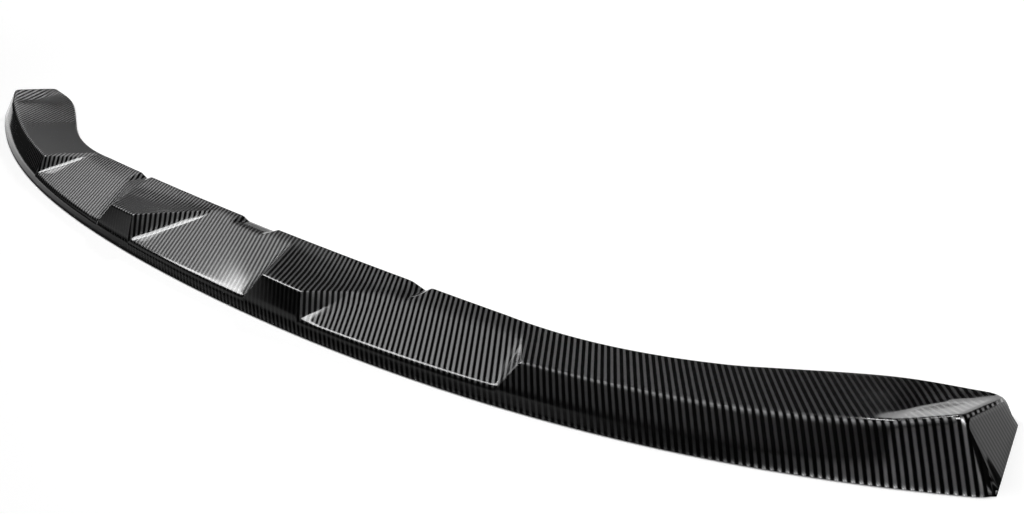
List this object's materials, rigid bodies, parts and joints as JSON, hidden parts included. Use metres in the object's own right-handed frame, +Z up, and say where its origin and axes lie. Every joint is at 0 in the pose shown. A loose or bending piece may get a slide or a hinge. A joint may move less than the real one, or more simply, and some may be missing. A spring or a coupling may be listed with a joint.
{
  "type": "front splitter lip",
  "caption": "Thin moulded front splitter lip with a bowed front edge, raised fins, sunk recesses and swept-back wings with faceted tips.",
  "frame": {"origin": "middle of the part's width and depth, on the plane that it rests on", "axes": "+X across the part towards the tip that is near in the picture, +Y from the front edge to the rear, +Z up"},
  "size_m": [1.5, 0.216, 0.0388],
  "materials": {
    "shell": "gloss black fabric-weave pattern under a clear coat"
  },
  "bodies": {
    "root": {"splitter_lip": "shell"}
  },
  "joints": []
}
